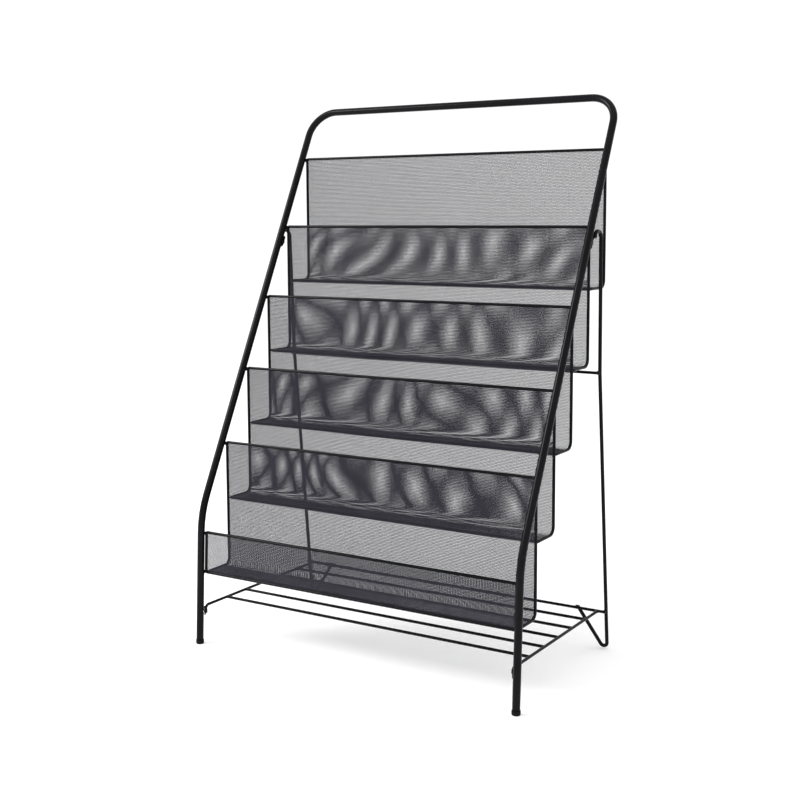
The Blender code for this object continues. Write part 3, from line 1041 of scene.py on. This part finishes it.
# ------------------------------------------------------------------ wire shelf
@dataclass
class WireShelf:
    """Side rails with flattened ends, five bars between them and a rear rail."""

    z: float = 0.0545
    first_bar_y: float = 0.051
    pitch: float = 0.042
    bars: int = 5
    wire_radius: float = 0.002
    rail_bend: float = 0.005
    screw_z: float = 0.0455
    rail_end_behind_tube: float = 0.0035
    round_end: float = 0.0055
    leg_x: float = 0.248
    overhang: float = 0.0015
    sides: int = 14
    tab: FlatTab = field(default_factory=lambda: FlatTab(length=0.0115))
    layout: Layout = LAYOUT

    @property
    def rail_x(self) -> float:
        """Distance from the middle of the rack to a side rail."""
        return (self.layout.half_width - self.layout.tube_radius - self.layout.seam
                - self.wire_radius)

    @property
    def rear_y(self) -> float:
        """Depth of the rear rail."""
        return self.first_bar_y + self.bars * self.pitch

    def build(self) -> None:
        """Make the bars, both rails and their screws."""
        bar = StraightBar()
        bar.build("shelf_back_rail", self.leg_x + self.overhang, self.rear_y, self.z,
                  "shelf_rear_rail")
        reach = self.rail_x - self.wire_radius
        for number in range(self.bars):
            bar.build(f"shelf_cross_wire_{number + 1}", reach,
                      self.first_bar_y + number * self.pitch, self.z, f"shelf_bar_{number + 1}")
        for side in Side:
            self._side_rail(side)

    def _side_rail(self, side: Side) -> None:
        """Bend one side rail, press its end and screw it on.

        Args:
            side: the side that it lies on.
        """
        sign = side.value
        screw_y = self.layout.tube_y(self.screw_z)
        turn_y = screw_y + self.rail_end_behind_tube
        rail_x = sign * self.rail_x
        corners = [self.layout.point(rail_x, self.rear_y - self.wire_radius, self.z),
                   self.layout.point(rail_x, turn_y, self.z),
                   self.layout.point(rail_x, turn_y, self.screw_z + self.round_end)]
        rail = WireBender(corners[0], corners[1] - corners[0], self.wire_radius, self.sides)
        rail.follow(corners, [self.rail_bend])
        on_axis = self.layout.point(sign * self.layout.half_width, screw_y, self.screw_z)
        inward = Vector((-sign, 1, 0)).normalized()
        stand_off = self.layout.tube_radius + self.layout.seam + self.tab.thickness / 2
        plate = on_axis + inward * stand_off
        self.tab.press_end(rail, plate, UP.cross(inward))
        rail.close_ends()
        hand_in(rail.shape, "shelf_bent_rail_" + side.word, POWDER_COAT,
                ("shelf_side_rail_" + side.word,))
        PanScrew().build("shelf_pan_screw_" + side.word, on_axis, inward,
                         "shelf_screw_" + side.word)


# ------------------------------------------------------------------ welds
@dataclass
class Welds:
    """Small beads of weld metal where wires meet the tube, the legs and each other."""

    trays: list[Tray]
    shelf: WireShelf
    leg: RearLeg
    tube_share: float = 0.62
    layout: Layout = LAYOUT

    def build(self) -> None:
        """Lay the beads of the trays, of the shelf and of the cross bar."""
        self._tray_beads()
        self._shelf_beads()
        self._cross_bar_beads()

    def _tray_beads(self) -> None:
        """Beads between the trays' rims and the tube."""
        shape = bmesh.new()
        seed = 1
        for tray in self.trays:
            for side in Side:
                between = self.layout.tube_y(tray.rim_z) + tray.behind_tube * self.tube_share
                spot = self.layout.point(side.value * (tray.half_width + 0.0012), between,
                                         tray.rim_z - 0.0012)
                weld_bead(shape, spot, Vector((0.0030, 0.0022, 0.0026)), seed)
                seed += 1
        for side in Side:
            for height in (FrontPanel.rim_z - 0.001, FrontPanel.bottom_z + 0.001):
                depth = self.layout.tube_y(height) + FrontPanel.behind_tube * self.tube_share
                spot = self.layout.point(side.value * (FrontPanel.half_width + 0.0010), depth, height)
                weld_bead(shape, spot, Vector((0.0028, 0.0020, 0.0024)), seed)
                seed += 1
        hand_in(shape, "tray_weld_beads", WELD)

    def _shelf_beads(self) -> None:
        """Beads along the side rails and at the legs' returns."""
        shape = bmesh.new()
        seed = 40
        for side in Side:
            rail_x = side.value * (self.shelf.rail_x - self.shelf.wire_radius * 0.8)
            for number in range(self.shelf.bars):
                y = self.shelf.first_bar_y + number * self.shelf.pitch
                weld_bead(shape, self.layout.point(rail_x, y, self.shelf.z),
                          Vector((0.0016, 0.0023, 0.0021)), seed)
                seed += 1
            for x, y, size in ((self.shelf.rail_x, self.shelf.rear_y - 0.002, 0.0024),
                               (self.leg.x - 0.0005, self.shelf.rear_y + 0.0022, 0.0027),
                               (self.leg.return_x, self.shelf.rear_y + 0.0025, 0.0030)):
                spot = self.layout.point(side.value * x, y, self.shelf.z)
                weld_bead(shape, spot, Vector((size, size * 0.9, size)), seed)
                seed += 1
        hand_in(shape, "shelf_weld_beads", WELD)

    def _cross_bar_beads(self) -> None:
        """Beads between the cross bar and the rear legs."""
        shape = bmesh.new()
        for seed, side in enumerate(Side, start=70):
            spot = self.layout.point(side.value * (self.leg.x - 0.0008), self.leg.bend_y - 0.0030,
                                     self.leg.bend_z)
            weld_bead(shape, spot, Vector((0.0030, 0.0022, 0.0030)), seed)
        hand_in(shape, "cross_bar_weld_beads", WELD)


# ------------------------------------------------------------------ studio
@dataclass
class Studio:
    """A pale floor, a white room, soft lights and the camera."""

    light_aim: tuple[float, float, float] = (0.0, 0.0, 0.35)
    left_box_ray: tuple[float, float, float] = (-0.68, -0.50, 0.534)
    left_box_distance: float = 2.4
    left_box_size: float = 0.9
    left_box_power: float = 42.0
    top_box_place: tuple[float, float, float] = (0.6, -0.6, 3.0)
    top_box_size: float = 1.6
    top_box_power: float = 8.0
    floor_half: float = 30.0
    world_strength: float = 1.06
    floor_glow: float = 0.16
    camera_place: tuple[float, float, float] = (0.88945, -1.4388, 0.58984)
    yaw: float = 0.5562
    pitch: float = 0.1138
    roll: float = -0.0044
    focal: float = 56.679
    sensor: float = 36.0
    shift: float = -0.05

    def build(self) -> None:
        """Lay the floor, light the room and aim the camera."""
        self._floor()
        self._room()
        self._lights()
        self._camera()

    def _floor(self) -> None:
        """Lay the floor."""
        shape = bmesh.new()
        bmesh.ops.create_grid(shape, x_segments=6, y_segments=6, size=self.floor_half)
        mesh = bpy.data.meshes.new("pale_floor")
        shape.to_mesh(mesh)
        shape.free()
        paint = FLOOR_PAINT.material()
        shader = paint.node_tree.nodes["Principled BSDF"]
        shader.inputs["Emission Color"].default_value = (1.0, 1.0, 1.0, 1.0)
        shader.inputs["Emission Strength"].default_value = self.floor_glow
        mesh.materials.append(paint)
        floor = bpy.data.objects.new("pale_floor", mesh)
        bpy.context.scene.collection.objects.link(floor)

    def _room(self) -> None:
        """Make the room plain white."""
        world = bpy.data.worlds.new("white_room")
        world.use_nodes = True
        backdrop = world.node_tree.nodes["Background"]
        backdrop.inputs["Color"].default_value = (1.0, 1.0, 1.0, 1.0)
        backdrop.inputs["Strength"].default_value = self.world_strength
        bpy.context.scene.world = world
        bpy.context.scene.view_settings.view_transform = "Standard"

    def _lights(self) -> None:
        """Hang a soft box on the left and a larger, weaker one above."""
        middle = Vector(self.light_aim)
        left = middle + Vector(self.left_box_ray) * self.left_box_distance
        self._soft_box("left_soft_box", left, middle, self.left_box_size, self.left_box_power)
        self._soft_box("top_soft_box", Vector(self.top_box_place), middle, self.top_box_size,
                       self.top_box_power)

    @staticmethod
    def _soft_box(name: str, place: Vector, aim: Vector, size: float, power: float) -> None:
        """Hang one square soft box.

        Args:
            name: name of the light.
            place: where it hangs.
            aim: the point that it faces.
            size: its side.
            power: its power in watts.
        """
        lamp = bpy.data.lights.new(name, "AREA")
        lamp.size = size
        lamp.energy = power
        holder = bpy.data.objects.new(name, lamp)
        bpy.context.scene.collection.objects.link(holder)
        holder.location = place
        holder.rotation_euler = (aim - place).to_track_quat("-Z", "Y").to_euler()

    def _camera(self) -> None:
        """Aim the camera."""
        ahead = Vector((-math.sin(self.yaw) * math.cos(self.pitch),
                        math.cos(self.yaw) * math.cos(self.pitch), -math.sin(self.pitch)))
        level = Vector((math.cos(self.yaw), math.sin(self.yaw), 0.0))
        upright = level.cross(ahead)
        right = level * math.cos(self.roll) + upright * math.sin(self.roll)
        top = upright * math.cos(self.roll) - level * math.sin(self.roll)
        lens = bpy.data.cameras.new("camera")
        lens.lens = self.focal
        lens.sensor_width = self.sensor
        lens.shift_y = self.shift
        lens.clip_end = 200.0
        camera = bpy.data.objects.new("camera", lens)
        bpy.context.scene.collection.objects.link(camera)
        turned = Matrix((right, top, -ahead)).transposed().to_4x4()
        camera.matrix_world = Matrix.Translation(self.camera_place) @ turned
        bpy.context.scene.camera = camera


def dress_inserts() -> None:
    """Give the threaded inserts inside the tube their zinc finish."""
    for place in ("leg", "shelf"):
        for side in Side:
            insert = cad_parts[f"{place}_insert_{side.word}"]
            insert.data.materials.clear()
            insert.data.materials.append(ZINC.material())


def main() -> None:
    """Build the rack in the order in which it is put together, then the studio."""
    logging.basicConfig(level=logging.INFO, format="%(message)s")
    TubeFrame().build()
    for side in Side:
        FootCap().build(side)
    trays = [Tray(number) for number in range(1, 6)]
    for tray in trays:
        tray.build()
    FrontPanel().build()
    leg = RearLeg()
    for side in Side:
        leg.build(side)
    tie_y = leg.bend_y - leg.radius - StraightBar.radius - Layout.seam
    StraightBar().build("rear_tie_bar", leg.x + WireShelf.overhang, tie_y, leg.bend_z,
                        "rear_cross_bar")
    shelf = WireShelf()
    shelf.build()
    Welds(trays, shelf, leg).build()
    dress_inserts()
    Studio().build()


if __name__ == "__main__":
    main()
